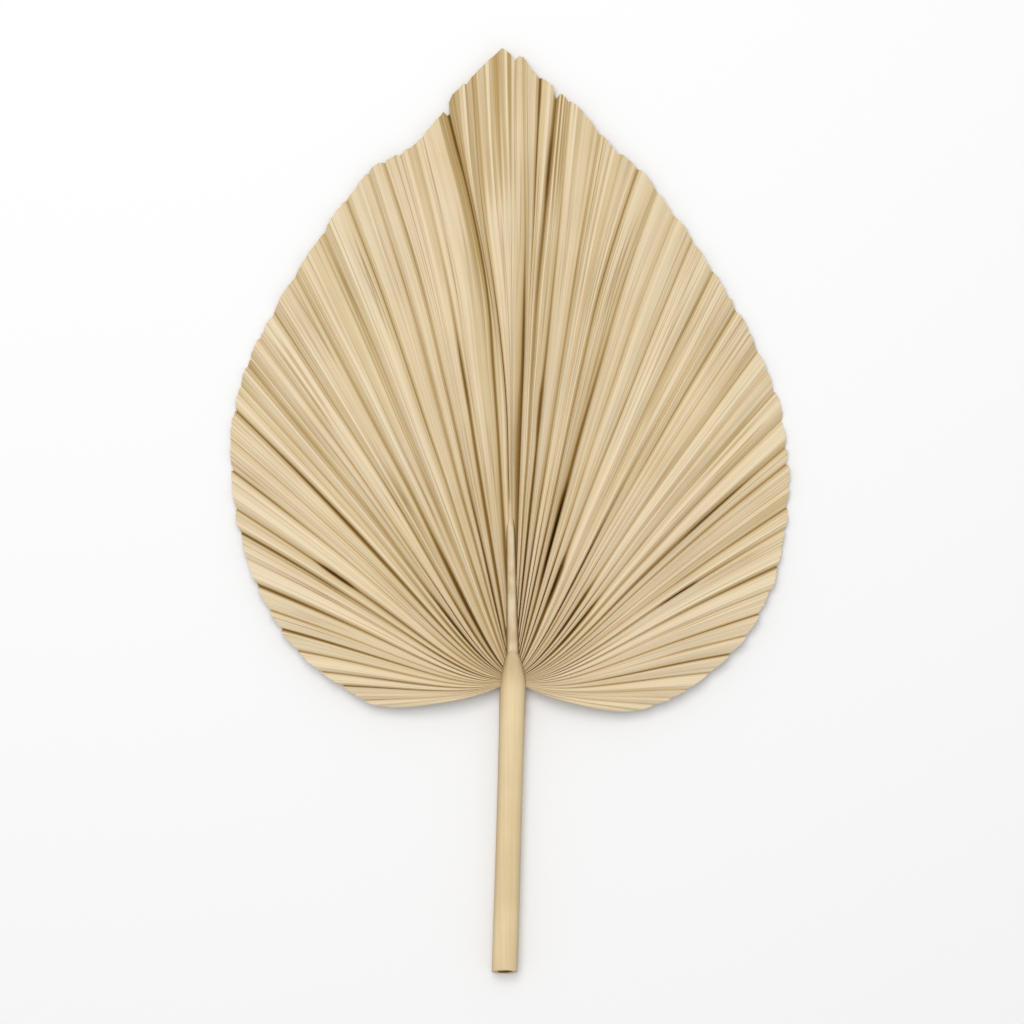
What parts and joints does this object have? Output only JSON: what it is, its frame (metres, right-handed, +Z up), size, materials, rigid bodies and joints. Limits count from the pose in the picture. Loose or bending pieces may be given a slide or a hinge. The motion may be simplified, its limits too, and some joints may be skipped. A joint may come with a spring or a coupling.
{
  "type": "fan palm leaf",
  "caption": "Sun-dried fan palm leaf trimmed to a pointed spade, with fine pleats spreading from a round cut petiole; it lies face up on a surface.",
  "frame": {"origin": "on the surface that the leaf lies on, under the middle of its length and width", "axes": "+Z up out of the blade's upper face, +Y along the midrib from the petiole's cut end to the blade's tip, +X to the right of a viewer who looks down on the leaf with its tip away"},
  "size_m": [0.2727, 0.4504, 0.0129],
  "materials": {
    "dried_palm": "matte"
  },
  "bodies": {
    "root": {"palm_leaf": "dried_palm"}
  },
  "joints": []
}
